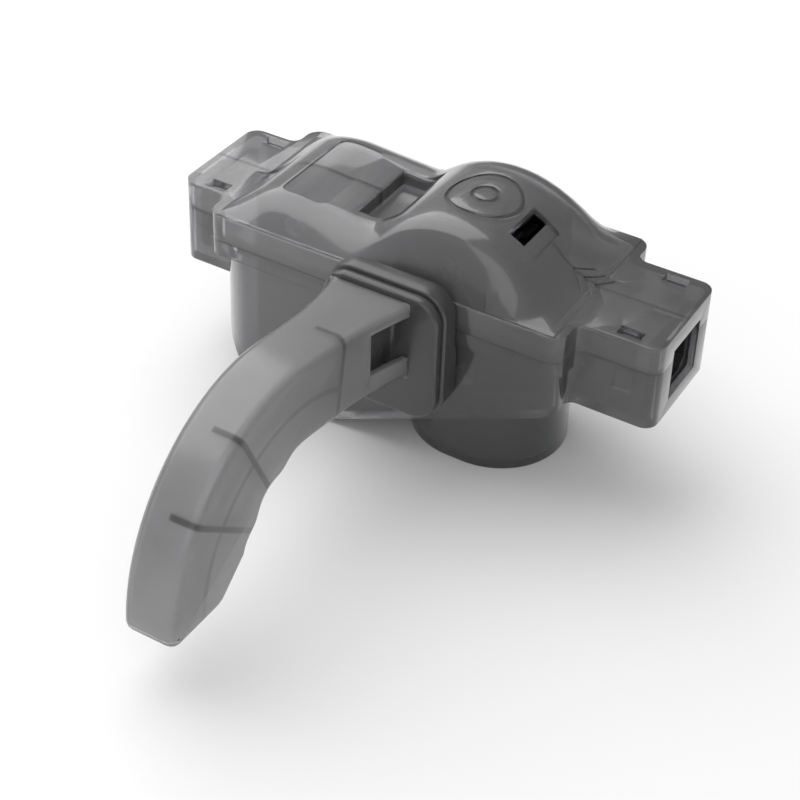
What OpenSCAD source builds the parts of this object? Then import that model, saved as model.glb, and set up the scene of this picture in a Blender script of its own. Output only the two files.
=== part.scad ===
// Hand-held cleaner for a bicycle chain: a two-part clear housing that closes
// round the lower run of the chain, four brush wheels that the chain turns, and
// a hollow side handle on a square collar.
// X runs along the chain, -Y points to the handle and +Z is up. The origin lies
// on the flat foot of the sump, in the chain's plane, halfway along the housing.
// Heights below are measured from the seam between cover and base.

/* [Housing plan] */
// Length of the housing along the chain
body_length = 150; // [146:1:160]
// Width of the two narrow ends, where the chain enters and leaves
neck_width = 35.6; // [34.6:0.2:38]
// Width of the wide middle
wide_width = 55.4; // [54:0.2:60]
// From mid-length to the left end of the wide middle, as a share of the length
wide_left_share = 0.39667; // [0.387:0.001:0.403]
// From mid-length to the right end of the wide middle, as a share of the length
wide_right_share = 0.34333; // [0.334:0.001:0.36]
// Corner radius of the necks
neck_corner = 4; // [2:0.5:5]
// Corner radius of the wide middle
wide_corner = 4.5; // [3:0.5:6]
// Corner radius of the base under its rim, on the left
lobe_corner = 11; // [8:0.5:13]
// Fillet where a neck meets the wide middle
throat_fillet = 3; // [2:0.5:4]
// Thickness of the housing walls
wall = 2; // [1.6:0.1:2.2]

/* [Cover] */
// Height of the neck roof over the seam
neck_height = 8.3; // [8:0.1:9]
// From mid-length to the small hump on the left, as a share of the length
small_hump_share = 0.24667; // [0.24:0.001:0.253]
// Radius of the small hump
small_hump_radius = 26; // [25:0.5:27]
// Height of the small hump over the seam
small_hump_height = 16.4; // [16:0.1:17.5]
// From mid-length to the large hump on the right, as a share of the length
large_hump_share = 0.08667; // [0.08:0.001:0.093]
// Radius of the large hump
large_hump_radius = 31.5; // [31:0.5:33]
// Height of the large hump over the seam
large_hump_height = 25.2; // [24.5:0.1:26]
// Fall of the deck between the humps, in degrees
deck_fall = 5; // [3:0.5:6]
// Radius of the saddle between the humps
saddle_radius = 9; // [7:0.5:11]
// Radius of the long run down to the right neck
tail_radius = 22; // [18:0.5:26]
// Radius at the foot of the small hump
heel_radius = 5; // [3:0.5:7]
// Half the width of the crown of the humps
crown_half = 20; // [19:0.2:21]
// Blend from the crown into the sloping sides
crown_blend = 5; // [4:0.2:6]
// Ledge between the upright side and the sloping side
side_ledge = 0.5; // [0.3:0.1:0.8]

/* [Base] */
// Depth of the necks under the seam
neck_depth = 17.5; // [17:0.5:19]
// Depth of the sump and of the left lobe under the seam
body_depth = 50; // [48:0.5:53]
// Height of the thick rim under the seam
rim_height = 4.8; // [4:0.1:6]
// Step from the rim in to the wall
rim_step = 1.3; // [1:0.1:1.6]
// Radius of the left lobe
lobe_radius = 30; // [28:0.5:32]
// Rise of the base's floor towards the right, in degrees
floor_rise = 24; // [23:0.5:25]
// Half the width of the sump
sump_half = 20.5; // [20:0.1:21]
// Distance between the sump's two round ends
sump_stretch = 5; // [3:0.5:8]

/* [Chain passage] */
// Width of the slot for the chain in each end
slot_width = 17; // [15:0.5:18]
// Height of the slot over the seam
slot_rise = 3; // [2:0.5:4]
// Depth of the slot under the seam
slot_drop = 13; // [12:0.5:14]
// Depth of the chain's middle under the seam
chain_drop = 5; // [4.5:0.1:5.5]
// Clear height between the upper and the lower bristles
bristle_gap = 4.8; // [4.5:0.1:6]
// Width of the chain's way through a guide
guide_width = 11; // [10:0.5:12]
// Height of the chain's way through a guide
guide_height = 12; // [11:0.5:13]
// Thickness of a chain guide
guide_thick = 3.2; // [2.5:0.1:4]

/* [Brush wheels] */
// Radius of the wheel pins
pin_radius = 2; // [1.8:0.1:2.2]
// Play between a pin and the hub round it
pin_play = 0.06; // [0.04:0.01:0.08]
// Outer radius of the hubs
hub_radius = 4.4; // [4.2:0.1:4.8]
// Width of the brush wheels
wheel_width = 23; // [21:0.5:24]
// From mid-length to the lower left wheel, as a share of the length
lower_left_share = 0.2; // [0.195:0.001:0.205]
// Room between the lower left wheel and the floor of the lobe
left_floor_room = 6.6; // [5.6:0.2:10.6]
// From mid-length to the lower right wheel and the sump, as a share of the length
lower_right_share = 0.12667; // [0.124:0.001:0.13]
// Room between the lower right wheel and the floor of the sump
right_floor_room = 10.6; // [9.6:0.2:14.6]
// Number of tufts round a wheel
tuft_count = 20; // [16:1:24]
// Number of tuft rows across a wheel
tuft_rows = 3; // [2:1:3]

/* [Collar] */
// Width of the collar
collar_width = 36.6; // [36:0.2:38]
// Height of the collar
collar_height = 40; // [39:0.5:42]
// Place of the collar's middle along the housing
collar_x = 2.8; // [2:0.1:3.5]
// Height of the collar's top edge over the seam
collar_rise = 13; // [12:0.5:14]
// Corner radius of the collar
collar_corner = 8; // [6:0.5:10]
// Thickness of the collar block on the base
block_thick = 6.2; // [5:0.1:7]
// Thickness of the collar plate that carries the handle
plate_thick = 3.6; // [3:0.1:4.5]
// Step from the block in to the plate
plate_step = 0.7; // [0.4:0.1:1]

/* [Handle] */
// Reach of the handle from the collar plate
handle_reach = 98; // [94:1:104]
// Outer radius of the handle's bend
bend_outer = 50; // [49:0.5:51]
// Inner radius of the handle's bend
bend_inner = 25; // [24:0.5:26]
// Height of the handle's crest over the seam
crest_height = 17; // [16:0.5:18]
// Slope of the handle's root, in degrees
root_slope = 8; // [6:0.5:9]
// Width of the handle at the collar
root_width = 25; // [24:0.5:26]
// Width of the handle along the grip
grip_width = 17.6; // [17:0.2:19]
// Width of the handle at its tip
tip_width = 15.6; // [15:0.2:17]
// Drop of the handle's tip under the seam
tip_drop = 34; // [32:0.5:36]
// Thickness of the handle's walls
handle_wall = 2; // [1.6:0.1:2.2]
// Thickness of the ribs inside the handle
rib_thick = 1.6; // [1.2:0.1:2]
// Length of the window in the handle's root
latch_run = 15; // [13:0.5:17]

/* [Hidden] */
$fn = 64;

// One overrun serves all cuts, one gap all pieces that only pass each other.
overrun = 1;
gap = 0.25;

end_x = body_length / 2;
neck_half = neck_width / 2;
wide_half = wide_width / 2;
wide_left = wide_left_share * body_length;
wide_right = wide_right_share * body_length;
small_hump_x = -small_hump_share * body_length;
large_hump_x = large_hump_share * body_length;
lower_left_x = -lower_left_share * body_length;
lower_right_x = lower_right_share * body_length;

// Cover profile along X: neck, heel fillet, small hump, falling deck, saddle
// fillet, large hump, tail fillet, neck.
small_z = small_hump_height - small_hump_radius;
large_z = large_hump_height - large_hump_radius;
heel_z = neck_height + heel_radius;
heel_x = small_hump_x - sqrt(pow(small_hump_radius + heel_radius, 2) - pow(heel_z - small_z, 2));
heel_end = heel_x + (small_hump_x - heel_x) * heel_radius / (small_hump_radius + heel_radius);
deck_x = small_hump_x + small_hump_radius * sin(deck_fall);
deck_z = small_z + small_hump_radius * cos(deck_fall);
// The saddle's centre lies one radius over the deck and clear of the large hump.
over_deck = [deck_x + saddle_radius * sin(deck_fall) - large_hump_x,
    deck_z + saddle_radius * cos(deck_fall) - large_z];
along_deck = over_deck[0] * cos(deck_fall) - over_deck[1] * sin(deck_fall);
deck_run = -along_deck - sqrt(pow(along_deck, 2) - pow(norm(over_deck), 2)
    + pow(large_hump_radius + saddle_radius, 2));
saddle_x = large_hump_x + over_deck[0] + deck_run * cos(deck_fall);
saddle_z = large_z + over_deck[1] - deck_run * sin(deck_fall);
saddle_start = saddle_x - saddle_radius * sin(deck_fall);
saddle_end = saddle_x + (large_hump_x - saddle_x) * saddle_radius / (large_hump_radius + saddle_radius);
tail_z = neck_height + tail_radius;
tail_x = large_hump_x + sqrt(pow(large_hump_radius + tail_radius, 2) - pow(tail_z - large_z, 2));
tail_start = tail_x - (tail_x - large_hump_x) * tail_radius / (large_hump_radius + tail_radius);

function over(x, mid, z, r) = z + sqrt(max(pow(r, 2) - pow(x - mid, 2), 0));
function under(x, mid, z, r) = z - sqrt(max(pow(r, 2) - pow(x - mid, 2), 0));
function roof(x) =
    x < heel_x || x > tail_x ? neck_height
    : x < heel_end ? under(x, heel_x, heel_z, heel_radius)
    : x < deck_x ? over(x, small_hump_x, small_z, small_hump_radius)
    : x < saddle_start ? deck_z - (x - deck_x) * tan(deck_fall)
    : x < saddle_end ? under(x, saddle_x, saddle_z, saddle_radius)
    : x < tail_start ? over(x, large_hump_x, large_z, large_hump_radius)
    : under(x, tail_x, tail_z, tail_radius);

// A cross-section runs from its foot, sunk in the neck's height, over the ledge
// and up the sloping side to the crown. The skin is 0 outside and a wall inside.
hump_steps = 32;
blend_steps = 4;
sunk = wall / 2;
ledge_rise = 0.3;
inner_side = wide_half - rim_step - wall;
narrow_share = 1.2;
blend_shares = [for (i = [0:blend_steps]) i / blend_steps];
function blend(a, b, c, t) = pow(1 - t, 2) * a + 2 * t * (1 - t) * b + pow(t, 2) * c;
function half_section(x, skin) =
    let (side = skin > 0 ? inner_side - side_ledge / 2 : wide_half - side_ledge,
        ledge = [side, neck_height + ledge_rise - skin],
        crown = [crown_half - skin * narrow_share, roof(x) - skin],
        slope = crown - ledge,
        reach = min(crown_blend, norm(slope) / 2),
        from = crown - slope / norm(slope) * reach,
        to = crown - [reach, 0])
    concat([[side, neck_height - sunk - skin], ledge], [for (t = blend_shares) blend(from, crown, to, t)]);

// How far a corner of the plan lets a straight side run on, short of its end.
function corner_run(r, ledge) = r - sqrt(max(pow(r, 2) - pow(r - ledge, 2), 0));
hump_from = max(heel_x + heel_radius * 0.3,
    corner_run(wide_corner, side_ledge) + ledge_rise - wide_left);
hump_to = min(tail_x - tail_radius * 0.1, wide_right - corner_run(wide_corner, side_ledge) - ledge_rise);
inner_from = max(hump_from + wall / 2,
    wall + rim_step - wide_left + corner_run(wide_corner - wall, side_ledge / 2) + ledge_rise);
inner_to = min(hump_to - wall / 2,
    wide_right - rim_step - wall - corner_run(wide_corner - wall, side_ledge / 2) - ledge_rise);

// A loft over even stations, closed by its two end sections.
module hump_loft(skin, from, to) {
    stations = [for (i = [0:hump_steps]) from + (to - from) * i / hump_steps];
    halves = [for (x = stations) half_section(x, skin)];
    half_count = len(halves[0]);
    ring = 2 * half_count;
    points = [for (i = [0:hump_steps]) each concat(
        [for (p = halves[i]) [stations[i], p[0], p[1]]],
        [for (k = [half_count - 1:-1:0]) [stations[i], -halves[i][k][0], halves[i][k][1]]])];
    sides = [for (i = [0:hump_steps - 1], k = [0:ring - 1])
        let (a = i * ring, b = a + ring, next = (k + 1) % ring)
        each [[a + k, b + next, a + next], [a + k, b + k, b + next]]];
    ends = [for (k = [1:ring - 2]) each
        [[0, k, k + 1], [hump_steps * ring, hump_steps * ring + k + 1, hump_steps * ring + k]]];
    polyhedron(points, concat(sides, ends));
}

// Everything is drawn from the seam and lifted on to the foot.
module placed() {
    translate([0, 0, body_depth]) children();
}

// Rectangle between two x values, centred on the chain, with rounded corners.
module rounded_plan(from, to, half, r) {
    safe = max(r, wall / 4);
    union() {
        translate([from + safe, -half]) square([to - from - 2 * safe, 2 * half]);
        translate([from, -half + safe]) square([to - from, 2 * (half - safe)]);
        for (x = [from + safe, to - safe], y = [safe - half, half - safe])
            translate([x, y]) circle(safe);
    }
}

// Fillet in the corner between a neck's side and the end of the wide middle.
module throat(x, side, inset) {
    r = throat_fillet + inset;
    y = neck_half - inset;
    for (flip = [0, 1]) mirror([0, flip])
        difference() {
            translate([min(x, x + side * r), y - wall / 4]) square([r, r + wall / 4]);
            translate([x + side * r, y + r]) circle(r);
        }
}

// Plan of the housing. The step draws the wide middle in and the inset draws all
// walls in. A large left corner runs straight into the neck, with no fillet.
module housing_plan(step, inset, left_corner) {
    left = -wide_left + step + inset;
    right = wide_right - step - inset;
    rounded_plan(inset - end_x, end_x - inset, neck_half - inset, neck_corner - inset);
    rounded_plan(left, 0, wide_half - step - inset, left_corner - inset);
    rounded_plan(-lobe_corner, right, wide_half - step - inset, wide_corner - inset);
    translate([-lobe_corner, step + inset - wide_half])
        square([2 * lobe_corner, 2 * (wide_half - step - inset)]);
    if (left_corner + throat_fillet < wide_half - step - neck_half) throat(left, -1, inset);
    throat(right, 1, inset);
}

module slab(from_z, to_z) {
    translate([0, 0, from_z]) linear_extrude(to_z - from_z) children();
}

// A profile drawn in X and Z, carried from one y to another.
module across(from_y, to_y) {
    translate([0, to_y, 0]) rotate([90, 0, 0]) linear_extrude(to_y - from_y) children();
}

// Windows over the four snap arms.
window_length = 6.8;
window_width = 3.7;
window_from_end = 10.3;
window_from_side = 3.7;
window_x = end_x - window_from_end;
window_y = neck_half - window_from_side;
module window_places() {
    for (x = [-window_x, window_x], y = [-window_y, window_y]) translate([x, y, 0]) children();
}

// The finger recess in the saddle has an upright wall under the small hump.
recess_half = 12.6;
recess_before = 4.4;
recess_past = 2.4;
recess_depth = 4;
recess_left = saddle_start - recess_before;
recess_right = saddle_end + recess_past;
recess_floor = roof(saddle_x) - recess_depth;
module finger_recess(skin) {
    translate([recess_left - skin, -recess_half - skin, recess_floor - skin])
        cube([recess_right - recess_left + 2 * skin, 2 * (recess_half + skin), large_hump_height]);
}

// Fill slot across the right slope of the large hump, with a run-in below it.
fill_offset = 14.6;
fill_x = large_hump_x + fill_offset;
fill_y = -2.6;
fill_length = 4.4;
fill_width = 14.6;
run_in = 4;
run_depth = 1.2;

// Two ring grooves on the crown of the large hump.
groove_depth = 0.6;
groove_width = 1.2;
ring_radii = [11, 4.2];

// Shallow panel on the small hump, a notch at its foot and a plain arrow that
// points to the fill slot.
panel_length = 15;
panel_half = 16.5;
panel_corner = 3;
panel_depth = 0.5;
panel_shift = 1.8;
panel_x = small_hump_x + panel_shift;
notch_x = heel_x - heel_radius / 2;
notch_length = 9;
notch_half = 4.6;
arrow_share = 0.29667;
arrow_x = arrow_share * body_length;
arrow_lean = 4;
arrow_half = 5.4;
arrow_bar = 1.6;
arrow_pitch = 3.4;
arrow_sink = 0.5;
arrow_bars = 3;

// Cuts an outline into the crown between two x values, to an even depth
// whatever the roof's slope.
engrave_steps = 12;
module engraved(from, to, depth) {
    start = from - overrun;
    end = to + overrun;
    xs = [for (i = [0:engrave_steps]) start + (end - start) * i / engrave_steps];
    intersection() {
        slab(neck_height - depth, large_hump_height + overrun) children();
        across(-crown_half, crown_half)
            polygon(concat([for (x = xs) [x, roof(x) - depth]],
                [[end, large_hump_height + overrun], [start, large_hump_height + overrun]]));
    }
}

module ring_outline(r, width) {
    difference() {
        circle(r);
        circle(r - width);
    }
}

module cover_marks() {
    engraved(large_hump_x - ring_radii[0], large_hump_x + ring_radii[0], groove_depth)
        translate([large_hump_x, 0]) for (r = ring_radii) ring_outline(r, groove_width);
    engraved(panel_x - panel_length / 2, panel_x + panel_length / 2, panel_depth)
        translate([panel_x, 0]) rounded_plan(-panel_length / 2, panel_length / 2, panel_half, panel_corner);
    engraved(notch_x, notch_x + notch_length, panel_depth) translate([notch_x, 0])
        polygon([[0, -notch_half / 2], [notch_length, -notch_half], [notch_length, notch_half / 2]]);
    engraved(arrow_x - arrow_lean, arrow_x + arrow_bars * arrow_pitch, arrow_sink) translate([arrow_x, 0])
        for (i = [0:arrow_bars - 1]) translate([i * arrow_pitch, 0])
            polygon([[-arrow_lean, 0], [0, -arrow_half], [arrow_bar, -arrow_half],
                [arrow_bar - arrow_lean, 0], [arrow_bar, arrow_half], [0, arrow_half]]);
}

// Locating lip inside the seam of the wide middle.
lip_thick = 1;
lip_drop = 2.4;
lip_hold = 0.4;
lip_reach = window_x - window_length;

// Snap arms stand in the base's necks and reach up into the windows.
arm_length = 5.4;
arm_thick = 1.8;
arm_under = 1.2;
arm_top = neck_height - arm_under;
arm_root = 9;
root_run = neck_half - window_y - wall / 2;
tooth_height = 2;
tooth_depth = 0.7;

// A short web under each neck's roof stands over the chain.
web_half = 0.7;
web_drop = 1.5;
web_run = 10;
web_x = end_x - wall / 2 - web_run / 2;

// Heights and radii of the wheels. The lower ones end under the chain's middle
// and the upper ones fill the space up to the web.
roof_play = 1;
low_edge = -chain_drop - bristle_gap / 2;
high_edge = -chain_drop + bristle_gap / 2;
upper_left_radius = (small_hump_height - wall - web_drop - roof_play - high_edge) / 2;
upper_right_radius = (large_hump_height - wall - web_drop - roof_play - high_edge) / 2;
lower_left_radius = (body_depth - wall - left_floor_room + low_edge) / 2;
lower_right_radius = (body_depth - wall - right_floor_room + low_edge) / 2;

// The cheeks of both frames carry the pins on either side of the wheels.
cheek_in = 14.2;
cheek_thick = 1.6;
cheek_out = cheek_in + cheek_thick;
cheek_split = -1.2;
seat = 0.25;
upper_from_share = 0.33333;
upper_to_share = 0.21333;
upper_tie_share = 0.17333;
upper_from = -upper_from_share * body_length;
upper_to = upper_to_share * body_length;
upper_tie_x = -upper_tie_share * body_length;
upper_ties = [upper_from, upper_tie_x, upper_to - cheek_thick];
upper_tie_foot = 3;
frame_room = 1.4;
lower_to_share = 0.30667;
lower_from = lower_left_x - lower_left_radius - frame_room - cheek_thick;
lower_to = lower_to_share * body_length;
head_rim = 1.2;
head_radius = pin_radius + head_rim;
head_thick = 1;
wheel_play = 0.3;

// Under-roof outline from the drop down to a level, between two x values.
roof_steps = 24;
module under_roof(from, to, drop, foot) {
    xs = [for (i = [0:roof_steps]) from + (to - from) * i / roof_steps];
    polygon(concat([for (x = xs) [x, roof(x) - drop]], [[to, foot], [from, foot]]));
}

// The fill slot goes right through and a shallow run-in leads down to it.
module fill_cut() {
    translate([fill_x - fill_length / 2, fill_y - fill_width / 2, neck_height])
        cube([fill_length, fill_width, large_hump_height]);
    engraved(fill_x, fill_x + fill_length / 2 + run_in, run_depth)
        translate([fill_x, fill_y - fill_width / 2]) square([fill_length / 2 + run_in, fill_width]);
}

module cover() color([0.36, 0.36, 0.38]) placed() {
    difference() {
        union() {
            slab(0, neck_height) housing_plan(0, 0, wide_corner);
            hump_loft(0, hump_from, hump_to);
        }
        difference() {
            union() {
                slab(-overrun, neck_height - wall) housing_plan(rim_step, wall, wide_corner);
                hump_loft(wall, inner_from, inner_to);
            }
            finger_recess(wall);
        }
        finger_recess(0);
        window_places()
            translate([-window_length / 2, -window_width / 2, 0])
                cube([window_length, window_width, neck_height + overrun]);
        chain_slots(slot_rise);
        fill_cut();
        cover_marks();
    }
    seam_lip();
    for (side = [-1, 1]) translate([side * web_x - web_run / 2, -web_half, neck_height - wall - web_drop])
        cube([web_run, 2 * web_half, web_drop + wall / 2]);
}

// The lip hangs from the cover's wall and reaches down inside the base's wall.
module seam_lip() {
    intersection() {
        difference() {
            union() {
                slab(lip_hold, 2 * lip_hold) housing_plan(rim_step, wall - lip_hold, lobe_corner);
                slab(-lip_drop, lip_hold) housing_plan(rim_step, wall + gap, lobe_corner);
            }
            slab(-lip_drop - overrun, lip_drop) housing_plan(rim_step, wall + gap + lip_thick, lobe_corner);
        }
        translate([-lip_reach, -wide_half, -body_depth]) cube([2 * lip_reach, wide_width, 2 * body_depth]);
    }
}

// Slots in both end walls, from the drop under the seam up to the rise over it.
module chain_slots(rise) {
    for (x = [-end_x - overrun, end_x - wall - overrun])
        translate([x, -slot_width / 2, -slot_drop])
            cube([wall + 2 * overrun, slot_width, slot_drop + rise]);
}

// Side view of the wide part of the base: a round lobe on the left and a floor
// that rises from it to the right neck.
base_left = rim_step - wide_left;
base_right = wide_right - rim_step;
lobe_x = base_left + lobe_radius;
lobe_z = lobe_radius - body_depth;
function touch(inset) = [lobe_x, lobe_z] + (lobe_radius - inset) * [sin(floor_rise), -cos(floor_rise)];
function floor_z(x, inset) = touch(inset)[1] + (x - touch(inset)[0]) * tan(floor_rise);
module base_side(inset) {
    right = base_right - inset;
    translate([lobe_x, lobe_z]) circle(lobe_radius - inset);
    polygon([[base_left + inset, 0], [base_left + inset, lobe_z], [lobe_x, lobe_z], touch(inset),
        [right, floor_z(right, inset)], [right, 0]]);
}

module sump_plan(inset) {
    r = sump_half - inset;
    translate([lower_right_x, 0]) {
        for (x = [-sump_stretch / 2, sump_stretch / 2]) translate([x, 0]) circle(r);
        translate([-sump_stretch / 2, -r]) square([sump_stretch, 2 * r]);
    }
}

module base_form(inset, top) {
    intersection() {
        slab(-body_depth, top) housing_plan(rim_step, inset, lobe_corner);
        union() {
            across(-wide_half, wide_half) base_side(inset);
            slab(inset - neck_depth, top)
                translate([-end_x, -neck_half - throat_fillet])
                    square([body_length, 2 * (neck_half + throat_fillet)]);
            slab(-rim_height, top) housing_plan(0, 0, wide_corner);
        }
    }
    slab(inset - body_depth, -rim_height) sump_plan(inset);
}

module snap_arm(side) {
    translate([-arm_length / 2, 0, 0]) {
        translate([0, -arm_thick / 2, -arm_root]) cube([arm_length, arm_thick, arm_root + arm_top]);
        translate([0, min(0, side * root_run), -arm_root])
            cube([arm_length, root_run, arm_root - lip_drop - gap]);
        translate([0, 0, arm_top - tooth_height]) rotate([90, 0, 90]) linear_extrude(arm_length)
            polygon([[0, 0], [side * arm_thick / 2, 0], [side * (arm_thick / 2 + tooth_depth), tooth_height / 4],
                [side * arm_thick / 2, tooth_height], [0, tooth_height]]);
    }
}

module base() color([0.34, 0.34, 0.36]) placed() {
    difference() {
        union() {
            base_form(0, 0);
            slab(-rim_height, 0) housing_plan(0, 0, wide_corner);
        }
        base_form(wall, overrun);
        chain_slots(overrun);
    }
    for (x = [-window_x, window_x], side = [-1, 1])
        translate([x, side * window_y, 0]) snap_arm(side);
}

// Collar: a block on the base's front wall and the plate that carries the handle.
block_front = wide_half + block_thick;
plate_front = block_front + plate_thick;
spigot_half = 7;
spigot_reach = 14;
spigot_low = -9.4;
spigot_high = 7.6;
module collar_outline(inset) {
    translate([0, collar_rise - collar_height / 2])
        rounded_plan(collar_x - collar_width / 2 + inset, collar_x + collar_width / 2 - inset,
            collar_height / 2 - inset, collar_corner - inset);
}

module collar_block() color([0.33, 0.33, 0.35]) placed() {
    across(-block_front, -wide_half - gap) collar_outline(0);
    intersection() {
        across(-wide_half - gap, rim_step - wide_half) collar_outline(0);
        slab(-body_depth, -rim_height - gap) translate([-wide_half, -wide_half - gap]) square(wide_width);
    }
}

module collar_plate() color([0.36, 0.36, 0.38]) placed() {
    across(-plate_front, -block_front) collar_outline(plate_step);
    translate([-spigot_half, -plate_front - spigot_reach, spigot_low])
        cube([2 * spigot_half, spigot_reach + plate_thick / 2, spigot_high - spigot_low]);
}

// Handle side view: s runs out from the collar plate and z up. A sloping root
// meets a round bend that ends in a flat tip.
bend_s = handle_reach - bend_outer;
bend_z = crest_height - bend_outer;
palm_shift = 3.5;
palm_s = bend_s - palm_shift;
swell_depth = 1.4;
swell_turns = [20, 52];
swell_spread = 15;
tip_chamfer = 9;
bend_steps = 30;
function on_bend(s, r, turn) = [s + r * sin(turn), bend_z + r * cos(turn)];
function swell(turn) = max([for (t = swell_turns)
    abs(turn - t) < swell_spread ? pow(cos((turn - t) / swell_spread * 90), 2) : 0]);

module handle_side(inset, start) {
    palm = bend_inner + inset;
    back = bend_outer - inset;
    tip = inset - tip_drop;
    cut = tip_chamfer - inset * (2 - sqrt(2));
    outer_end = acos((tip - bend_z) / back);
    palm_end = acos((tip + cut - bend_z) / palm);
    outer = [for (i = [0:bend_steps]) on_bend(bend_s, back,
        -root_slope + (outer_end + root_slope) * i / bend_steps)];
    inner = [for (i = [bend_steps:-1:0])
        let (turn = -root_slope + (palm_end + root_slope) * i / bend_steps)
        on_bend(palm_s, palm - swell_depth * swell(turn), turn)];
    function root_z(p) = p[1] - (p[0] - start) * tan(root_slope);
    polygon(concat([[start, root_z(outer[0])]], outer, [[palm_s + palm + cut, tip]],
        inner, [[start, root_z(inner[bend_steps])]]));
}

// Handle top view: x across and s out. The root flares towards the collar.
flare_run = 30;
flare_steps = 10;
flare = (root_width - grip_width) / 2;
flare_radius = (pow(flare_run, 2) + pow(flare, 2)) / (2 * flare);
function half_width(s) = s < flare_run
    ? grip_width / 2 + flare_radius - sqrt(pow(flare_radius, 2) - pow(flare_run - max(s, 0), 2))
    : grip_width / 2 + (tip_width - grip_width) / 2 * (s - flare_run) / (handle_reach - flare_run);
module handle_top(inset) {
    along = concat([-overrun], [for (i = [0:flare_steps]) flare_run * i / flare_steps], [handle_reach + overrun]);
    polygon(concat([for (s = along) [half_width(s) - inset, s]],
        [for (i = [len(along) - 1:-1:0]) [inset - half_width(along[i]), along[i]]]));
}

// Carries a side view along x; s is laid out towards -Y from the collar plate.
module sideways(from_x, to_x) {
    translate([to_x, -plate_front, 0]) rotate([90, 0, -90]) linear_extrude(to_x - from_x) children();
}

module handle_form(inset, start) {
    intersection() {
        sideways(-root_width / 2, root_width / 2) handle_side(inset, start);
        translate([0, -plate_front, -handle_reach]) mirror([0, 1, 0])
            linear_extrude(2 * handle_reach) handle_top(inset);
    }
}

module handle_shell(from_x, to_x) {
    intersection() {
        difference() {
            handle_form(0, 0);
            handle_form(handle_wall, -overrun);
        }
        translate([from_x, -plate_front - handle_reach, -handle_reach])
            cube([to_x - from_x, handle_reach, 2 * handle_reach]);
    }
}

// Ribs inside the right half: three across the grip and one along the bend.
root_rib_s = 28;
rib_turns = [26, 52];
spine_radius = (bend_outer + bend_inner) / 2 + rib_thick;
spine_height = 1.5;
module cross_ribs() {
    translate([root_rib_s, 0]) rotate(root_slope)
        translate([-rib_thick / 2, -crest_height]) square([rib_thick, 2 * crest_height]);
    for (turn = rib_turns)
        translate([bend_s, bend_z]) rotate(-turn)
            translate([-rib_thick / 2, 0]) square([rib_thick, bend_outer]);
}
module spine() {
    difference() {
        translate([bend_s, bend_z]) circle(spine_radius);
        translate([bend_s, bend_z]) circle(spine_radius - rib_thick);
        translate([-handle_reach, -handle_reach]) square([bend_s + handle_reach - flare_run / 2, 2 * handle_reach]);
    }
}

// Window over the latch in the right face, open towards the collar.
latch_low = -6.6;
latch_high = 6.4;
module latch_side() {
    rise = latch_run * tan(root_slope);
    polygon([[-overrun, latch_low], [latch_run, latch_low + rise], [latch_run, latch_high + rise],
        [-overrun, latch_high]]);
}

module handle_right() color([0.62, 0.62, 0.63]) placed() {
    difference() {
        handle_shell(0, root_width / 2);
        sideways(spigot_half, root_width / 2 + overrun) latch_side();
    }
    intersection() {
        handle_form(handle_wall / 2, 0);
        union() {
            sideways(0, root_width / 2) cross_ribs();
            sideways(tip_width / 2 - handle_wall - spine_height, grip_width / 2) spine();
        }
    }
}

module handle_left() color([0.6, 0.6, 0.61]) placed() {
    handle_shell(-root_width / 2, 0);
}

module pin_at(x, z, r) {
    translate([x, cheek_out + head_thick + overrun, z]) rotate([90, 0, 0])
        cylinder(r = r, h = 2 * (cheek_out + head_thick + overrun));
}

// Cheek pair with pin holes, drawn in X and Z.
module cheeks() {
    across(cheek_in, cheek_out) children();
    across(-cheek_out, -cheek_in) children();
}

upper_left_z = high_edge + upper_left_radius;
upper_right_z = high_edge + upper_right_radius;
lower_left_z = low_edge - lower_left_radius;
lower_right_z = low_edge - lower_right_radius;

module upper_frame() color([0.1, 0.1, 0.11]) placed() {
    difference() {
        union() {
            cheeks() under_roof(upper_from, upper_to, wall + web_drop / 2, cheek_split);
            for (x = upper_ties)
                across(-cheek_in, cheek_in) under_roof(x, x + cheek_thick, wall + seat, upper_tie_foot);
        }
        finger_recess(wall + gap);
        pin_at(small_hump_x, upper_left_z, pin_radius);
        pin_at(large_hump_x, upper_right_z, pin_radius);
    }
}

// Ties of the lower frame, each as its x and its two heights.
tie_share = 0.36;
tie_foot_share = 0.1;
tie_height = tie_share * (cheek_split - gap - floor_z(lower_to, wall));
lower_tie_share = 0.06;
lower_ties = [[lower_from, lower_left_z - tie_height / 2],
    [-lower_tie_share * body_length, lower_left_z - 2 * tie_height],
    [lower_to - cheek_thick, floor_z(lower_to, wall) + tie_foot_share * tie_height / tie_share]];
module lower_frame() color([0.1, 0.1, 0.11]) placed() {
    difference() {
        union() {
            cheeks() intersection() {
                base_side(wall);
                translate([lower_from, -body_depth]) square([lower_to - lower_from, body_depth + cheek_split - gap]);
            }
            for (tie = lower_ties)
                translate([tie[0], -cheek_in, tie[1]]) cube([cheek_thick, 2 * cheek_in, tie_height]);
        }
        pin_at(lower_left_x, lower_left_z, pin_radius);
        pin_at(lower_right_x, lower_right_z, pin_radius);
    }
}

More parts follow.
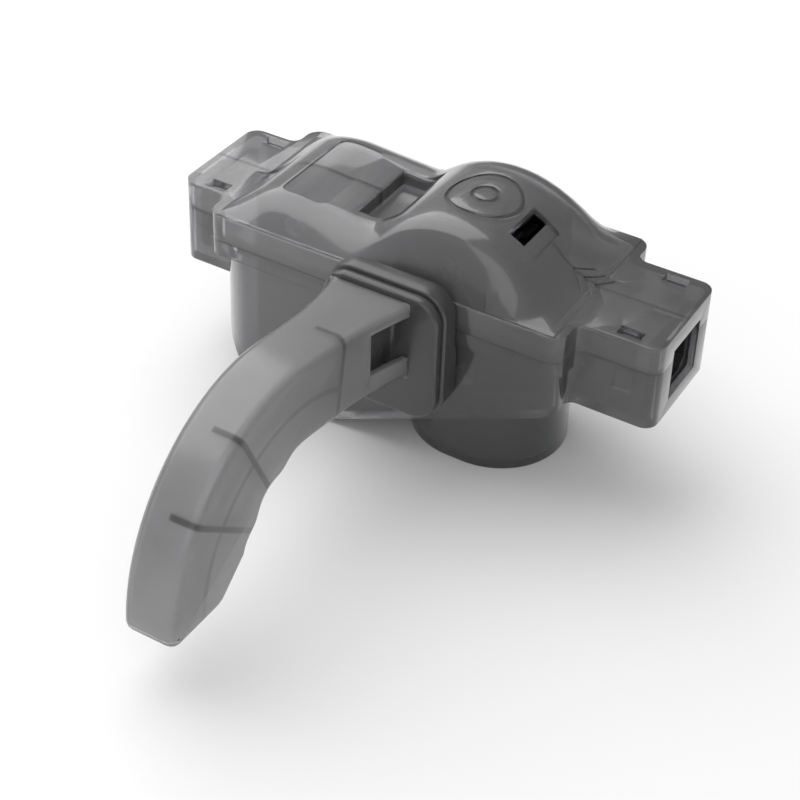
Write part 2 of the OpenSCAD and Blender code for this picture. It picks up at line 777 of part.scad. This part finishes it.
// Guide plate inside an end wall, with its corners cut round the chain.
guide_half = 11.5;
guide_chamfer = 3;
guide_top = neck_height - wall - web_drop - gap;
module guide(from_x) {
    w = guide_width / 2;
    h = guide_height / 2;
    c = guide_chamfer;
    translate([from_x, 0, 0]) rotate([90, 0, 90]) linear_extrude(guide_thick) difference() {
        translate([-guide_half, wall - neck_depth]) square([2 * guide_half, guide_top + neck_depth - wall]);
        translate([0, -chain_drop])
            polygon([[-w, c - h], [c - w, -h], [w - c, -h], [w, c - h], [w, h - c], [w - c, h], [c - w, h], [-w, h - c]]);
    }
}
module guide_left() color([0.09, 0.09, 0.1]) placed() guide(wall + gap - end_x);
module guide_right() color([0.09, 0.09, 0.1]) placed() guide(end_x - wall - gap - guide_thick);

// A wheel turns on its pin: a hub between the cheeks and rows of tufts round it.
core = 1.3;
row_gap = 0.8;
tuft_base_share = 0.62;
tuft_tip_share = 0.8;
module round_y(from, to, r) {
    translate([0, to, 0]) rotate([90, 0, 0]) cylinder(r = r, h = to - from);
}
module hub(x, z) placed() translate([x, 0, z]) difference() {
    union() {
        round_y(-wheel_width / 2, wheel_width / 2, hub_radius);
        round_y(wheel_play - cheek_in, cheek_in - wheel_play, pin_radius + core);
    }
    round_y(-cheek_in, cheek_in, pin_radius + pin_play);
}
// Outline of one row of tufts, each narrower at its tip.
function tuft_outline(r) =
    let (pitch = 360 / tuft_count, base = pitch * tuft_base_share / 2,
        tip = base * tuft_tip_share * (hub_radius + core) / r)
    [for (k = [0:tuft_count - 1]) each
        [for (p = [[hub_radius + core, -base], [r, -tip], [r, tip], [hub_radius + core, base]])
            p[0] * [cos(k * pitch + p[1]), sin(k * pitch + p[1])]]];
module bristles(x, z, r) placed() translate([x, 0, z]) {
    row = (wheel_width - (tuft_rows - 1) * row_gap) / tuft_rows;
    across(-wheel_width / 2, wheel_width / 2) difference() {
        circle(hub_radius + core / 2);
        circle(hub_radius);
    }
    for (i = [0:tuft_rows - 1]) translate([0, i * (row + row_gap) - wheel_width / 2, 0])
        across(0, row) difference() {
            rotate((i % 2) * 180 / tuft_count) polygon(tuft_outline(r));
            circle(hub_radius);
        }
}
module pin(x, z) placed() translate([x, 0, z]) {
    round_y(-cheek_out - head_thick, cheek_out + head_thick, pin_radius);
    for (side = [-1, 1]) translate([0, side * (cheek_out + head_thick / 2), 0])
        round_y(-head_thick / 2, head_thick / 2, head_radius);
}

module upper_left_hub() color([0.2, 0.2, 0.21]) hub(small_hump_x, upper_left_z);
module upper_left_bristles() color([0.12, 0.12, 0.13]) bristles(small_hump_x, upper_left_z, upper_left_radius);
module upper_left_pin() color([0.6, 0.6, 0.62]) pin(small_hump_x, upper_left_z);
module upper_right_hub() color([0.2, 0.2, 0.21]) hub(large_hump_x, upper_right_z);
module upper_right_bristles() color([0.12, 0.12, 0.13]) bristles(large_hump_x, upper_right_z, upper_right_radius);
module upper_right_pin() color([0.6, 0.6, 0.62]) pin(large_hump_x, upper_right_z);
module lower_left_hub() color([0.2, 0.2, 0.21]) hub(lower_left_x, lower_left_z);
module lower_left_bristles() color([0.12, 0.12, 0.13]) bristles(lower_left_x, lower_left_z, lower_left_radius);
module lower_left_pin() color([0.6, 0.6, 0.62]) pin(lower_left_x, lower_left_z);
module lower_right_hub() color([0.2, 0.2, 0.21]) hub(lower_right_x, lower_right_z);
module lower_right_bristles() color([0.12, 0.12, 0.13]) bristles(lower_right_x, lower_right_z, lower_right_radius);
module lower_right_pin() color([0.6, 0.6, 0.62]) pin(lower_right_x, lower_right_z);

cover();
base();
collar_block();
collar_plate();
handle_right();
handle_left();
upper_frame();
lower_frame();
guide_left();
guide_right();
upper_left_hub();
upper_left_bristles();
upper_left_pin();
upper_right_hub();
upper_right_bristles();
upper_right_pin();
lower_left_hub();
lower_left_bristles();
lower_left_pin();
lower_right_hub();
lower_right_bristles();
lower_right_pin();
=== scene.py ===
import math
import bpy
import bmesh
from mathutils import Matrix, Vector


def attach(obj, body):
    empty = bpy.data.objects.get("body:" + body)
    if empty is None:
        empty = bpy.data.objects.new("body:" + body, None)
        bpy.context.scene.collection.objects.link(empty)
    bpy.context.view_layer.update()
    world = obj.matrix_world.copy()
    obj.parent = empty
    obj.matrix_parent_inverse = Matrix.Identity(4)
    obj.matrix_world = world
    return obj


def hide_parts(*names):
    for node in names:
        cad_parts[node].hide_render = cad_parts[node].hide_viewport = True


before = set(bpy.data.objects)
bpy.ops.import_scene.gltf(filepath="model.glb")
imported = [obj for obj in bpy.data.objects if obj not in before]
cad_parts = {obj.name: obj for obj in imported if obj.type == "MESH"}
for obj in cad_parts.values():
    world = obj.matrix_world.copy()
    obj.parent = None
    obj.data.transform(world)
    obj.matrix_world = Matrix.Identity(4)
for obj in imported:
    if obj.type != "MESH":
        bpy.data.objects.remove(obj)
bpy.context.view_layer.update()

print("chain cleaner: frame loaded")

seamHeight = 0.050  # height of the seam between cover and base over the floor

# camera: the photograph's viewing angle, aimed at the middle of the seam
# angles in degrees, lens in millimetres, the rest in metres
cameraSettings = {
    "azimuth": 28.26,
    "elevation": 33.95,
    "roll": 2.97,
    "distance": 0.5215,
    "lens": 84.1,
    "shift": (-0.0496, -0.1799),
    "clip": (0.01, 20),
}


def addCamera(settings):
    a = math.radians(settings["azimuth"])
    e = math.radians(settings["elevation"])
    roll = math.radians(settings["roll"])
    back = Vector((math.sin(a) * math.cos(e), -math.cos(a) * math.cos(e), math.sin(e)))
    right = Vector((math.cos(a), math.sin(a), 0))
    up = back.cross(right)
    camX = math.cos(roll) * right + math.sin(roll) * up
    camY = -math.sin(roll) * right + math.cos(roll) * up
    place = back * settings["distance"] + Vector((0, 0, seamHeight))
    bpy.ops.object.camera_add()
    cam = bpy.context.object
    cam.name = "photoCamera"
    cam.matrix_world = Matrix.Translation(place) @ Matrix((camX, camY, back)).transposed().to_4x4()
    cam.data.lens = settings["lens"]
    cam.data.shift_x, cam.data.shift_y = settings["shift"]
    cam.data.clip_start, cam.data.clip_end = settings["clip"]
    bpy.context.scene.camera = cam


addCamera(cameraSettings)


# shader helpers

def newMaterial(name):
    mat = bpy.data.materials.new(name)
    mat.use_nodes = True
    nodes = mat.node_tree.nodes
    shader = next(n for n in nodes if n.type == "BSDF_PRINCIPLED")
    return mat, nodes, mat.node_tree.links, shader


grainDefaults = {"Cloud Scale": 60.0, "Grain Scale": 1500.0, "Roughness": 0.3, "Uneven": 0.05, "Grain Height": 0.1}
noiseDetail = {"cloud": 3, "grain": 2}


def buildGrainGroup(detail):
    # cloudy colour, uneven gloss and a fine moulded grain, all on object coordinates
    group = bpy.data.node_groups.new("mouldedGrain", "ShaderNodeTree")
    face = group.interface
    for socketName, value in grainDefaults.items():
        face.new_socket(name=socketName, in_out="INPUT", socket_type="NodeSocketFloat").default_value = value
    for socketName in ("Light Color", "Dark Color"):
        face.new_socket(name=socketName, in_out="INPUT", socket_type="NodeSocketColor")
    face.new_socket(name="Color", in_out="OUTPUT", socket_type="NodeSocketColor")
    face.new_socket(name="Roughness", in_out="OUTPUT", socket_type="NodeSocketFloat")
    face.new_socket(name="Height", in_out="OUTPUT", socket_type="NodeSocketFloat")
    nodes, links = group.nodes, group.links
    inside = nodes.new("NodeGroupInput")
    outside = nodes.new("NodeGroupOutput")
    coords = nodes.new("ShaderNodeTexCoord")
    cloud = nodes.new("ShaderNodeTexNoise")
    cloud.inputs["Detail"].default_value = detail["cloud"]
    grain = nodes.new("ShaderNodeTexNoise")
    grain.inputs["Detail"].default_value = detail["grain"]
    links.new(coords.outputs["Object"], cloud.inputs["Vector"])
    links.new(coords.outputs["Object"], grain.inputs["Vector"])
    links.new(inside.outputs["Cloud Scale"], cloud.inputs["Scale"])
    links.new(inside.outputs["Grain Scale"], grain.inputs["Scale"])
    tint = nodes.new("ShaderNodeMix")
    tint.data_type = "RGBA"
    links.new(cloud.outputs["Fac"], tint.inputs[0])
    links.new(inside.outputs["Dark Color"], tint.inputs[6])
    links.new(inside.outputs["Light Color"], tint.inputs[7])
    links.new(tint.outputs[2], outside.inputs["Color"])
    centred = nodes.new("ShaderNodeMath")
    centred.operation = "SUBTRACT"
    centred.inputs[1].default_value = 0.5
    links.new(cloud.outputs["Fac"], centred.inputs[0])
    rough = nodes.new("ShaderNodeMath")
    rough.operation = "MULTIPLY_ADD"
    links.new(centred.outputs[0], rough.inputs[0])
    links.new(inside.outputs["Uneven"], rough.inputs[1])
    links.new(inside.outputs["Roughness"], rough.inputs[2])
    links.new(rough.outputs[0], outside.inputs["Roughness"])
    height = nodes.new("ShaderNodeMath")
    height.operation = "MULTIPLY"
    links.new(grain.outputs["Fac"], height.inputs[0])
    links.new(inside.outputs["Grain Height"], height.inputs[1])
    links.new(height.outputs[0], outside.inputs["Height"])
    return group


grainGroup = buildGrainGroup(noiseDetail)


def wire(links, target, value):
    # a plain value goes on the socket, an output gets linked
    if isinstance(value, bpy.types.NodeSocket):
        links.new(value, target)
    else:
        target.default_value = value


def mathNode(group, operation, first, second=None):
    node = group.nodes.new("ShaderNodeMath")
    node.operation = operation
    wire(group.links, node.inputs[0], first)
    if second is not None:
        wire(group.links, node.inputs[1], second)
    return node.outputs[0]


def vectorNode(group, operation, first, second, output):
    node = group.nodes.new("ShaderNodeVectorMath")
    node.operation = operation
    wire(group.links, node.inputs[0], first)
    if second is not None:
        wire(group.links, node.inputs[1], second)
    return node.outputs[output]


def fadeNode(group, value, start, end):
    # 1 at the start, 0 at the end, soft between
    node = group.nodes.new("ShaderNodeMapRange")
    node.interpolation_type = "SMOOTHSTEP"
    node.inputs["From Min"].default_value = start
    node.inputs["From Max"].default_value = end
    node.inputs["To Min"].default_value = 1
    node.inputs["To Max"].default_value = 0
    group.links.new(value, node.inputs["Value"])
    return node.outputs["Result"]


# where a line starts to fade and where it ends, as shares of its half width
softEdge = (0.6, 1.4)
crispEdge = (0.8, 1.2)


def lineMask(group, distance, half, edge):
    return fadeNode(group, distance, half * edge[0], half * edge[1])


def allOf(group, mask, *others):
    for other in others:
        mask = mathNode(group, "MULTIPLY", mask, other)
    return mask


def anyOf(group, mask, *others):
    for other in others:
        mask = mathNode(group, "MAXIMUM", mask, other)
    return mask


def bandNode(group, coords, centre, axis, half):
    offset = vectorNode(group, "SUBTRACT", coords, centre, 0)
    distance = mathNode(group, "ABSOLUTE", vectorNode(group, "DOT_PRODUCT", offset, axis, 1))
    return lineMask(group, distance, half, softEdge)


def ringDistance(group, coords, centre, plane, ringRadius):
    # how far a point lies from a circle round the centre, seen square to the plane
    offset = vectorNode(group, "SUBTRACT", coords, centre, 0)
    flat = vectorNode(group, "MULTIPLY", offset, plane, 0)
    radius = vectorNode(group, "LENGTH", flat, None, 1)
    return mathNode(group, "ABSOLUTE", mathNode(group, "SUBTRACT", radius, ringRadius))


def openBandGroup(name):
    group = bpy.data.node_groups.new(name, "ShaderNodeTree")
    face = group.interface
    face.new_socket(name="Color", in_out="INPUT", socket_type="NodeSocketColor")
    face.new_socket(name="Dark Share", in_out="INPUT", socket_type="NodeSocketFloat")
    face.new_socket(name="Color", in_out="OUTPUT", socket_type="NodeSocketColor")
    coords = group.nodes.new("ShaderNodeTexCoord").outputs["Object"]
    split = group.nodes.new("ShaderNodeSeparateXYZ")
    group.links.new(coords, split.inputs[0])
    return group, coords, split.outputs


def closeBandGroup(group, mask):
    # the band takes its share off the colour: a painted shade
    inside = group.nodes.new("NodeGroupInput")
    outside = group.nodes.new("NodeGroupOutput")
    loss = mathNode(group, "MULTIPLY", mask, inside.outputs["Dark Share"])
    keep = mathNode(group, "SUBTRACT", 1.0, loss)
    scaled = vectorNode(group, "SCALE", inside.outputs["Color"], None, 0)
    group.links.new(keep, scaled.node.inputs["Scale"])
    group.links.new(scaled, outside.inputs["Color"])
    return group


# painted shade of the ribs inside the handle: darker lines, three across the grip and one along its right face
ribShadeSettings = {
    "half": 0.0008,
    "rootCentre": (0, -0.0655, 0.050),
    "rootSlope": 8,
    "bendCentre": (0, -0.0855, 0.017),
    "turns": (26, 52),
    "sideFade": 0.0004,
    "spineRadius": 0.0383,
    "spineFrom": -0.068,
    "spineRun": 0.004,
    "spineInside": 0.0062,
    "spineFade": 0.0006,
    "spineShare": 0.6,
}


def buildRibShadeGroup(settings):
    # painted shade: the handle's colour is darker along the ribs and the spine inside it
    group, coords, axes = openBandGroup("ribShadeBands")
    half, bend = settings["half"], settings["bendCentre"]
    slope = math.radians(settings["rootSlope"])
    across = (0, -math.cos(slope), math.sin(slope))
    ribShade = bandNode(group, coords, settings["rootCentre"], across, half)
    for turn in settings["turns"]:
        t = math.radians(turn)
        across = (0, -math.cos(t), -math.sin(t))
        ribShade = anyOf(group, ribShade, bandNode(group, coords, bend, across, half))
    ribShade = allOf(group, ribShade, fadeNode(group, axes["X"], settings["sideFade"], -settings["sideFade"]))
    away = ringDistance(group, coords, bend, (0, 1, 1), settings["spineRadius"])
    inside, start = settings["spineInside"], settings["spineFrom"]
    rightFace = fadeNode(group, axes["X"], inside + settings["spineFade"], inside)
    pastRoot = fadeNode(group, axes["Y"], start, start + settings["spineRun"])
    spineShade = allOf(group, lineMask(group, away, half, softEdge), rightFace, pastRoot, settings["spineShare"])
    return closeBandGroup(group, anyOf(group, ribShade, spineShade))


# painted shade of the web inside the cover's roof, left of the finger recess and right of the fill slot,
# and painted shade on the floors of the two rings
webShadeSettings = {
    "half": 0.00065,
    "leftTo": -0.0196,
    "leftFade": 0.0006,
    "rightFrom": 0.034,
    "rightFade": 0.003,
    "low": 0.0535,
    "heightFade": 0.001,
    "ringCentre": (0.013, 0, 0),
    "rings": (0.0104, 0.0036),
    "ringHalf": 0.0006,
    "ringLow": 0.07,
}
# shadow line of the seam, and a fainter one at the foot of the rim
seamShadowSettings = {"height": seamHeight, "half": 0.00035, "rimFoot": 0.0452, "footShare": 0.6}
# painted shade: the colour darkens towards the right end, the side away from the light
rightShadeSettings = {"from": 0.052, "to": -0.03, "share": 0.62}


def seamShadowMask(group, coords, settings):
    return bandNode(group, coords, (0, 0, settings["height"]), (0, 0, 1), settings["half"])


def rightShadeMask(group, axes, settings):
    # painted shade, darker towards the right end
    return allOf(group, fadeNode(group, axes["X"], settings["from"], settings["to"]), settings["share"])


def buildCoverShadeGroup(settings):
    group, coords, axes = openBandGroup("coverShadeBand")
    line = lineMask(group, mathNode(group, "ABSOLUTE", axes["Y"]), settings["half"], softEdge)
    left = fadeNode(group, axes["X"], settings["leftTo"], settings["leftTo"] + settings["leftFade"])
    right = fadeNode(group, axes["X"], settings["rightFrom"], settings["rightFrom"] - settings["rightFade"])
    roof = fadeNode(group, axes["Z"], settings["low"], settings["low"] - settings["heightFade"])
    mask = allOf(group, line, anyOf(group, left, right), roof)
    crown = fadeNode(group, axes["Z"], settings["ringLow"], settings["ringLow"] - settings["heightFade"])
    for ring in settings["rings"]:
        away = ringDistance(group, coords, settings["ringCentre"], (1, 1, 0), ring)
        mask = anyOf(group, mask, allOf(group, lineMask(group, away, settings["ringHalf"], crispEdge), crown))
    # painted shadow of the seam and painted shade towards the right end, on the cover as well
    mask = anyOf(group, mask, seamShadowMask(group, coords, seamShadowSettings), rightShadeMask(group, axes, rightShadeSettings))
    return closeBandGroup(group, mask)


def buildBaseShadeGroup(settings):
    # painted shadow of the seam, a fainter painted shadow at the foot of the rim, and painted shade towards the
    # right end
    group, coords, axes = openBandGroup("baseShadeBand")
    foot = bandNode(group, coords, (0, 0, settings["rimFoot"]), (0, 0, 1), settings["half"])
    mask = anyOf(group, seamShadowMask(group, coords, settings), allOf(group, foot, settings["footShare"]))
    return closeBandGroup(group, anyOf(group, mask, rightShadeMask(group, axes, rightShadeSettings)))


baseShadeGroup = buildBaseShadeGroup(seamShadowSettings)
ribShadeGroup = buildRibShadeGroup(ribShadeSettings)
coverShadeGroup = buildCoverShadeGroup(webShadeSettings)


surfaceSettings = {"rimBlend": 0.35, "grainDepth": 0.0002}


def grainedMaterial(name, settings):
    mat, nodes, links, shader = newMaterial(name)
    grain = nodes.new("ShaderNodeGroup")
    grain.node_tree = grainGroup
    for key, usual in grainDefaults.items():
        grain.inputs[key].default_value = settings.get(key, usual)
    grain.inputs["Light Color"].default_value = (*settings["light"], 1)
    grain.inputs["Dark Color"].default_value = (*settings["dark"], 1)
    colour = grain.outputs["Color"]
    # painted shade: the band group darkens the colour by its share, along ribs, web, rings, seam and towards the
    # right end
    if "shadeBands" in settings:
        shadeBands = nodes.new("ShaderNodeGroup")
        shadeBands.node_tree = settings["shadeBands"]
        shadeBands.inputs["Dark Share"].default_value = settings["shadeShare"]
        links.new(colour, shadeBands.inputs["Color"])
        colour = shadeBands.outputs["Color"]
    if "rim" in settings:
        # walls seen edge-on are darker, as thick smoky plastic is
        facing = nodes.new("ShaderNodeLayerWeight")
        facing.inputs["Blend"].default_value = surfaceSettings["rimBlend"]
        rim = nodes.new("ShaderNodeMix")
        rim.data_type = "RGBA"
        rim.inputs[7].default_value = (*settings["rim"], 1)
        links.new(facing.outputs["Facing"], rim.inputs[0])
        links.new(colour, rim.inputs[6])
        colour = rim.outputs[2]
    links.new(colour, shader.inputs["Base Color"])
    links.new(grain.outputs["Roughness"], shader.inputs["Roughness"])
    if "bump" in settings:
        bump = nodes.new("ShaderNodeBump")
        bump.inputs["Strength"].default_value = settings["bump"]
        bump.inputs["Distance"].default_value = surfaceSettings["grainDepth"]
        links.new(grain.outputs["Height"], bump.inputs["Height"])
        links.new(bump.outputs["Normal"], shader.inputs["Normal"])
    shader.inputs["Transmission Weight"].default_value = settings.get("transmission", 0)
    shader.inputs["IOR"].default_value = settings.get("ior", 1.5)
    shader.inputs["Metallic"].default_value = settings.get("metallic", 0)
    shader.inputs["Coat Weight"].default_value = settings.get("coat", 0)
    shader.inputs["Coat Roughness"].default_value = settings.get("coatRoughness", 0.08)
    return mat


# the clear walls have no bump: on them the grain showed as dots
coverFinish = {
    "light": (0.55, 0.55, 0.565), "dark": (0.47, 0.47, 0.485), "transmission": 0.8, "ior": 1.48,
    "rim": (0.09, 0.09, 0.095), "shadeBands": coverShadeGroup, "shadeShare": 0.68, "coat": 0.6,
    "Cloud Scale": 32, "Roughness": 0.19, "Uneven": 0.05,
}
baseFinish = {
    "light": (0.43, 0.43, 0.445), "dark": (0.37, 0.37, 0.385), "transmission": 0.84, "ior": 1.48,
    "rim": (0.09, 0.09, 0.095), "shadeBands": baseShadeGroup, "shadeShare": 0.68, "coat": 0.6,
    "Cloud Scale": 30, "Roughness": 0.17, "Uneven": 0.05,
}
collarFinish = dict(baseFinish, light=(0.17, 0.17, 0.175), dark=(0.14, 0.14, 0.145),
                    transmission=0.65, Roughness=0.25, shadeShare=0.2, coat=0.3)
handleFinish = {
    "light": (0.55, 0.55, 0.56), "dark": (0.49, 0.49, 0.5), "transmission": 0.72, "ior": 1.47,
    "rim": (0.22, 0.22, 0.225), "shadeBands": ribShadeGroup, "shadeShare": 0.6, "coat": 0.35, "coatRoughness": 0.15,
    "Cloud Scale": 26, "Roughness": 0.31, "Uneven": 0.06,
    "Grain Scale": 900, "Grain Height": 0.3, "bump": 0.02,
}
blackFinish = {
    "light": (0.012, 0.012, 0.013), "dark": (0.006, 0.006, 0.007),
    "Cloud Scale": 50, "Roughness": 0.42, "Uneven": 0.1,
    "Grain Scale": 1500, "Grain Height": 0.5, "bump": 0.15,
}
bristleFinish = {
    "light": (0.03, 0.03, 0.033), "dark": (0.006, 0.006, 0.007),
    "Cloud Scale": 900, "Roughness": 0.5, "Uneven": 0.2,
    "Grain Scale": 2500, "Grain Height": 1.0, "bump": 0.6,
}
pinFinish = {
    "light": (0.62, 0.62, 0.64), "dark": (0.48, 0.48, 0.5), "metallic": 1,
    "Cloud Scale": 500, "Roughness": 0.28, "Uneven": 0.15,
    "Grain Scale": 3000, "Grain Height": 0.4, "bump": 0.15,
}

coverPlastic = grainedMaterial("smokeCover", coverFinish)
basePlastic = grainedMaterial("smokeBase", baseFinish)
collarPlastic = grainedMaterial("smokeCollar", collarFinish)
handlePlastic = grainedMaterial("frostedHandle", handleFinish)
blackPlastic = grainedMaterial("blackPlastic", blackFinish)
bristleNylon = grainedMaterial("bristleNylon", bristleFinish)
pinSteel = grainedMaterial("pinSteel", pinFinish)
print("chain cleaner: materials made")


def dressNode(nodeName, mat):
    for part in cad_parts[nodeName].material_slots:
        part.material = mat


def pickOnly(piece):
    bpy.ops.object.select_all(action="DESELECT")
    piece.select_set(True)
    bpy.context.view_layer.objects.active = piece


def applyModifiers(piece):
    pickOnly(piece)
    for modifier in list(piece.modifiers):
        bpy.ops.object.modifier_apply(modifier=modifier.name)


# moulded shells: the CAD form, merged, with a bevel on its sharp edges
# round is the bevel in metres, share the part of it that most sharp edges get, and angle, in degrees,
# what counts as sharp. The clamp shrinks a bevel to what its edges have room for, on the cover and the
# base to nearly nothing. The grip goes without it: its long edges get the full round.
shellSettings = {
    "cover": {
        "mat": coverPlastic, "slot": "smoke_cover", "body": "lid",
        "round": 0.0007, "share": 1, "angle": 28,
    },
    "base": {
        "mat": basePlastic, "slot": "smoke_base", "body": "chassis",
        "round": 0.0006, "share": 1, "angle": 28,
    },
    "collar_block": {
        "mat": collarPlastic, "slot": "smoke_base", "body": "chassis",
        "round": 0.0016, "share": 1, "angle": 40,
    },
    "collar_plate": {
        "mat": collarPlastic, "slot": "smoke_cover", "body": "chassis",
        "round": 0.0014, "share": 1, "angle": 40,
    },
    "handle_right": {
        "mat": handlePlastic, "slot": "grey_handle", "body": "chassis", "with": "handle_left",
        "round": 0.003, "share": 0.13, "angle": 35, "clamp": False,
    },
}
shellFinish = {"segments": 4, "smoothAngle": 32, "mergeWithin": 0.00001, "flatWithin": 0.6}

# the grip's outline from above, which tells its long outer edges from those of the root and its window
gripSettings = {
    "start": -0.0375,
    "flareRun": 0.030,
    "flareRadius": 0.12347,
    "gripHalf": 0.0088,
    "tipLoss": 0.001,
    "reach": 0.098,
    "windowEnd": -0.0532,
    "windowLow": 0.0410,
    "windowHigh": 0.0595,
    "nearSide": 0.0003,
    "nearStart": 0.0004,
}


def gripHalfWidth(y):
    s = gripSettings["start"] - y
    if s < gripSettings["flareRun"]:
        r = gripSettings["flareRadius"]
        return gripSettings["gripHalf"] + r - math.sqrt(r * r - (gripSettings["flareRun"] - max(s, 0)) ** 2)
    return gripSettings["gripHalf"] - gripSettings["tipLoss"] * (s - gripSettings["flareRun"]) / (
        gripSettings["reach"] - gripSettings["flareRun"])


def wideGripEdge(a, b):
    grip = gripSettings
    outside = all(abs(p.x) > gripHalfWidth(p.y) - grip["nearSide"] for p in (a, b))
    window = all(p.y > grip["windowEnd"] and grip["windowLow"] < p.z < grip["windowHigh"] for p in (a, b))
    root = all(p.y > grip["start"] - grip["nearStart"] for p in (a, b))
    return outside and not window and not root


wideEdges = {"handle_right": wideGripEdge}


def copyNode(nodeName):
    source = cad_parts[nodeName]
    piece = source.copy()
    piece.data = source.data.copy()
    piece.parent = None
    piece.matrix_world = Matrix.Identity(4)
    piece.name = "moulded_" + nodeName
    bpy.context.collection.objects.link(piece)
    mergeLoose(piece)
    return piece


def mergeLoose(piece):
    pickOnly(piece)
    bpy.ops.object.mode_set(mode="EDIT")
    bpy.ops.mesh.select_all(action="SELECT")
    bpy.ops.mesh.remove_doubles(threshold=shellFinish["mergeWithin"])
    bpy.ops.mesh.dissolve_limited(angle_limit=math.radians(shellFinish["flatWithin"]))
    bpy.ops.object.mode_set(mode="OBJECT")


def weighEdges(piece, isWide, settings):
    # bevel weight 1 on the wide edges and the share on the other sharp ones
    work = bmesh.new()
    work.from_mesh(piece.data)
    sharp = []
    for edge in work.edges:
        turned = len(edge.link_faces) == 2 and edge.calc_face_angle(0) > math.radians(settings["angle"])
        wide = turned and isWide is not None and isWide(edge.verts[0].co, edge.verts[1].co)
        sharp.append(1.0 if wide else settings["share"] if turned else 0.0)
    work.free()
    layers = piece.data.attributes
    weights = layers.get("bevel_weight_edge") or layers.new("bevel_weight_edge", "FLOAT", "EDGE")
    weights.data.foreach_set("value", sharp)
    return sum(1 for value in sharp if value > 0)


def mouldShell(nodeName, settings):
    piece = copyNode(nodeName)
    if "with" in settings:
        other = copyNode(settings["with"])
        union = piece.modifiers.new("oneShell", "BOOLEAN")
        union.operation = "UNION"
        union.solver = "EXACT"
        union.object = other
        applyModifiers(piece)
        bpy.data.objects.remove(other)
        mergeLoose(piece)
    edgeCount = weighEdges(piece, wideEdges.get(nodeName), settings)
    bevel = piece.modifiers.new("edgeRound", "BEVEL")
    bevel.width = settings["round"]
    bevel.segments = shellFinish["segments"]
    bevel.limit_method = "WEIGHT"
    bevel.use_clamp_overlap = settings.get("clamp", True)
    bevel.miter_outer = "MITER_ARC"
    applyModifiers(piece)
    bpy.ops.object.shade_smooth_by_angle(angle=math.radians(shellFinish["smoothAngle"]))
    piece.data.materials.clear()
    piece.data.materials.append(settings["mat"])
    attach(piece, settings["body"])
    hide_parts(nodeName)
    if "with" in settings:
        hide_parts(settings["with"])
    return piece, edgeCount


for nodeName, settings in shellSettings.items():
    shell, edgeCount = mouldShell(nodeName, settings)
    print("chain cleaner: shell", nodeName, len(shell.data.polygons), "faces,", edgeCount, "edges given a bevel")


for nodeName in ("upper_frame", "lower_frame", "guide_left", "guide_right"):
    dressNode(nodeName, blackPlastic)
for wheel in ("upper_left", "upper_right", "lower_left", "lower_right"):
    dressNode(wheel + "_hub", blackPlastic)
    dressNode(wheel + "_bristles", bristleNylon)
    dressNode(wheel + "_pin", pinSteel)
print("chain cleaner: inner parts dressed")


# floor, world and lamps

stageSettings = {
    "floorSize": 6.0,
    "floorColor": (0.86, 0.86, 0.86),
    "floorRoughness": 0.8,
    "worldLight": 0.6,
    "glossLight": 0.4,
}
lampSettings = {
    "keyLamp": {"place": (-0.6, 0.15, 0.95), "size": 1.5, "power": 13.0},
    "fillLamp": {"place": (0.35, -0.8, 0.7), "size": 0.9, "power": 2.0},
}
lampAim = (0, -0.02, 0.05)


def addFloor(settings):
    bpy.ops.object.select_all(action="DESELECT")
    bpy.ops.mesh.primitive_plane_add(size=settings["floorSize"], location=(0, 0, 0))
    floor = bpy.context.object
    floor.name = "paleFloor"
    mat, nodes, links, shader = newMaterial("paleFloor")
    shader.inputs["Base Color"].default_value = (*settings["floorColor"], 1)
    shader.inputs["Roughness"].default_value = settings["floorRoughness"]
    floor.data.materials.append(mat)


def addWorld(settings):
    world = bpy.data.worlds.new("softStudio")
    world.use_nodes = True
    bpy.context.scene.world = world
    nodes, links = world.node_tree.nodes, world.node_tree.links
    background = nodes["Background"]
    background.inputs["Color"].default_value = (1, 1, 1, 1)
    # white to the camera and through the clear walls, softer in reflections and as light
    path = nodes.new("ShaderNodeLightPath")
    seen = nodes.new("ShaderNodeMath")
    seen.operation = "MAXIMUM"
    links.new(path.outputs["Is Camera Ray"], seen.inputs[0])
    links.new(path.outputs["Is Transmission Ray"], seen.inputs[1])
    gloss = nodes.new("ShaderNodeMix")
    gloss.inputs[2].default_value = settings["worldLight"]
    gloss.inputs[3].default_value = settings["glossLight"]
    links.new(path.outputs["Is Glossy Ray"], gloss.inputs[0])
    strength = nodes.new("ShaderNodeMix")
    strength.inputs[3].default_value = 1.0
    links.new(seen.outputs[0], strength.inputs[0])
    links.new(gloss.outputs[0], strength.inputs[2])
    links.new(strength.outputs[0], background.inputs["Strength"])


def addLamp(name, settings):
    bpy.ops.object.light_add(type="AREA", location=settings["place"])
    lamp = bpy.context.object
    lamp.name = name
    lamp.data.size = settings["size"]
    lamp.data.energy = settings["power"]
    towards = Vector(lampAim) - Vector(settings["place"])
    lamp.rotation_euler = towards.to_track_quat("-Z", "Y").to_euler()


addFloor(stageSettings)
addWorld(stageSettings)
for lampName, settings in lampSettings.items():
    addLamp(lampName, settings)
bpy.context.scene.view_settings.view_transform = "Standard"
print("chain cleaner: stage and lamps set")
